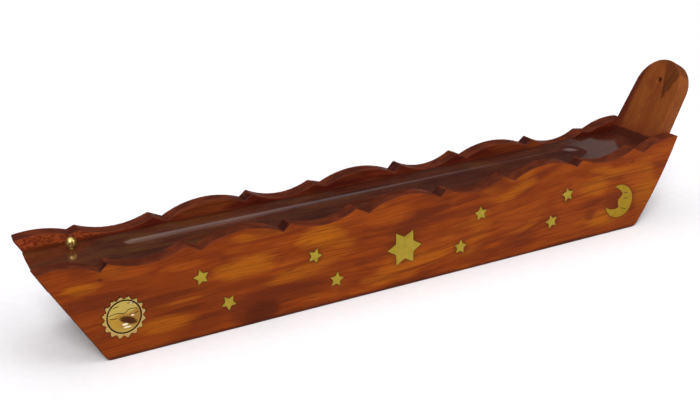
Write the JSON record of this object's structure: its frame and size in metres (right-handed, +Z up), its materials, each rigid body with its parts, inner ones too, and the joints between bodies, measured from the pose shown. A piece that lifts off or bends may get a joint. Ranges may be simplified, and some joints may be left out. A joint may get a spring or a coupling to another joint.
{
  "type": "incense burner",
  "caption": "Boat-shaped wooden incense-stick burner with scalloped sides, brass celestial inlays, a raised stick-holding end tongue and a sliding lid over a storage space.",
  "frame": {"origin": "middle of the flat underside, on the surface that the burner stands on", "axes": "+X along the boat towards the stick-holding tongue, +Z up, and the inlaid side panel faces -Y"},
  "size_m": [0.3253, 0.0458, 0.0721],
  "materials": {
    "panel_wood": "gloss varnish",
    "base_wood": "satin, unvarnished",
    "end_wood": "gloss varnish",
    "tongue_wood": "satin varnish",
    "lid_wood": "gloss varnish",
    "inlay_brass": "satin",
    "polished_brass": "polished"
  },
  "bodies": {
    "boat": {"front_side_panel": "panel_wood", "rear_side_panel": "panel_wood", "base_board": "base_wood", "left_end_board": "end_wood", "tongue_board": "tongue_wood", "sun_inlay": "inlay_brass", "moon_inlay": "inlay_brass", "six_point_star_inlay": "inlay_brass", "small_star_inlay_1": "inlay_brass", "small_star_inlay_2": "inlay_brass", "small_star_inlay_3": "inlay_brass", "small_star_inlay_4": "inlay_brass", "small_star_inlay_5": "inlay_brass", "small_star_inlay_6": "inlay_brass", "small_star_inlay_7": "inlay_brass", "small_star_inlay_8": "inlay_brass"},
    "lid": {"sliding_lid": "lid_wood", "lid_knob": "polished_brass"}
  },
  "joints": [
    {"name": "lid_slide", "type": "slide", "parent": "boat", "child": "lid", "axis": [-1, 0, 0], "range_m": [0, 0.3]}
  ]
}
